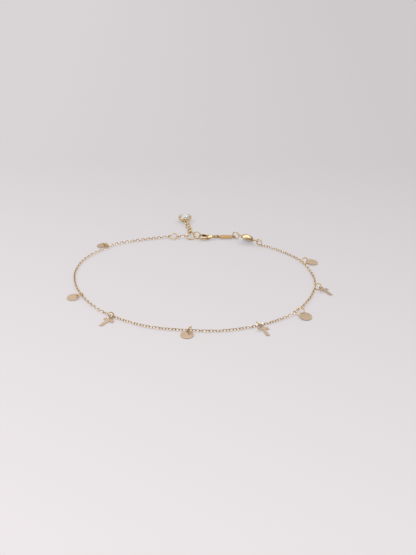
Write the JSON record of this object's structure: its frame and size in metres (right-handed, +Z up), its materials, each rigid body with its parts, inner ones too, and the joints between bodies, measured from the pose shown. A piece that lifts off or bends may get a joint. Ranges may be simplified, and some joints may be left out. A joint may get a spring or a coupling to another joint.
{
  "type": "charm anklet",
  "caption": "Fine cable-chain anklet with plain disc and cross charms on jump rings, a lobster clasp, a bare tag, an in-line bezel-set stone and an extender drop, lying closed in a loop.",
  "frame": {"origin": "on the surface that the anklet lies on, under the middle of its overall box", "axes": "+Z up; +Y from the front of the loop to the clasp and the drop beyond it; +X to the right with the clasp at the far side"},
  "size_m": [0.0885, 0.0921, 0.0035],
  "materials": {
    "chain_gold": "polished yellow gold wire, drawn into small oval links",
    "polished_gold": "polished yellow gold",
    "charm_gold": "smooth satin yellow gold sheet",
    "tag_gold": "smooth satin yellow gold, bare, a little deeper in colour",
    "stone": "clear faceted stone"
  },
  "bodies": {
    "root": {"end_ring": "polished_gold", "catch_ring": "polished_gold", "hook_ring": "polished_gold", "tail_ring": "polished_gold", "tag_ring": "polished_gold", "bezel_ring": "polished_gold", "disc_1_ring": "polished_gold", "disc_2_ring": "polished_gold", "cross_1_ring": "polished_gold", "disc_3_ring": "polished_gold", "cross_2_ring": "polished_gold", "disc_4_ring": "polished_gold", "cross_3_ring": "polished_gold", "disc_5_ring": "polished_gold", "disc_1": "charm_gold", "disc_2": "charm_gold", "cross_1": "charm_gold", "disc_3": "charm_gold", "cross_2": "charm_gold", "disc_4": "charm_gold", "cross_3": "charm_gold", "disc_5": "charm_gold", "chain": "chain_gold", "spacer_chain": "chain_gold", "extender_chain": "chain_gold", "clasp_body": "polished_gold", "clasp_pin": "polished_gold", "tag": "tag_gold", "drop_bezel": "polished_gold", "drop_stone": "stone", "link_bezel": "polished_gold", "link_stone": "stone"},
    "lever": {"clasp_lever": "polished_gold"}
  },
  "joints": [
    {"name": "lever_hinge", "type": "hinge", "parent": "root", "child": "lever", "pos_m": [0.00339, 0.0268, 0.00113], "axis": [0, -0.2756, 0.9613], "range_deg": [0, 20], "stiffness_Nm_per_rad": 0.00001, "springref_deg": -17.19}
  ]
}
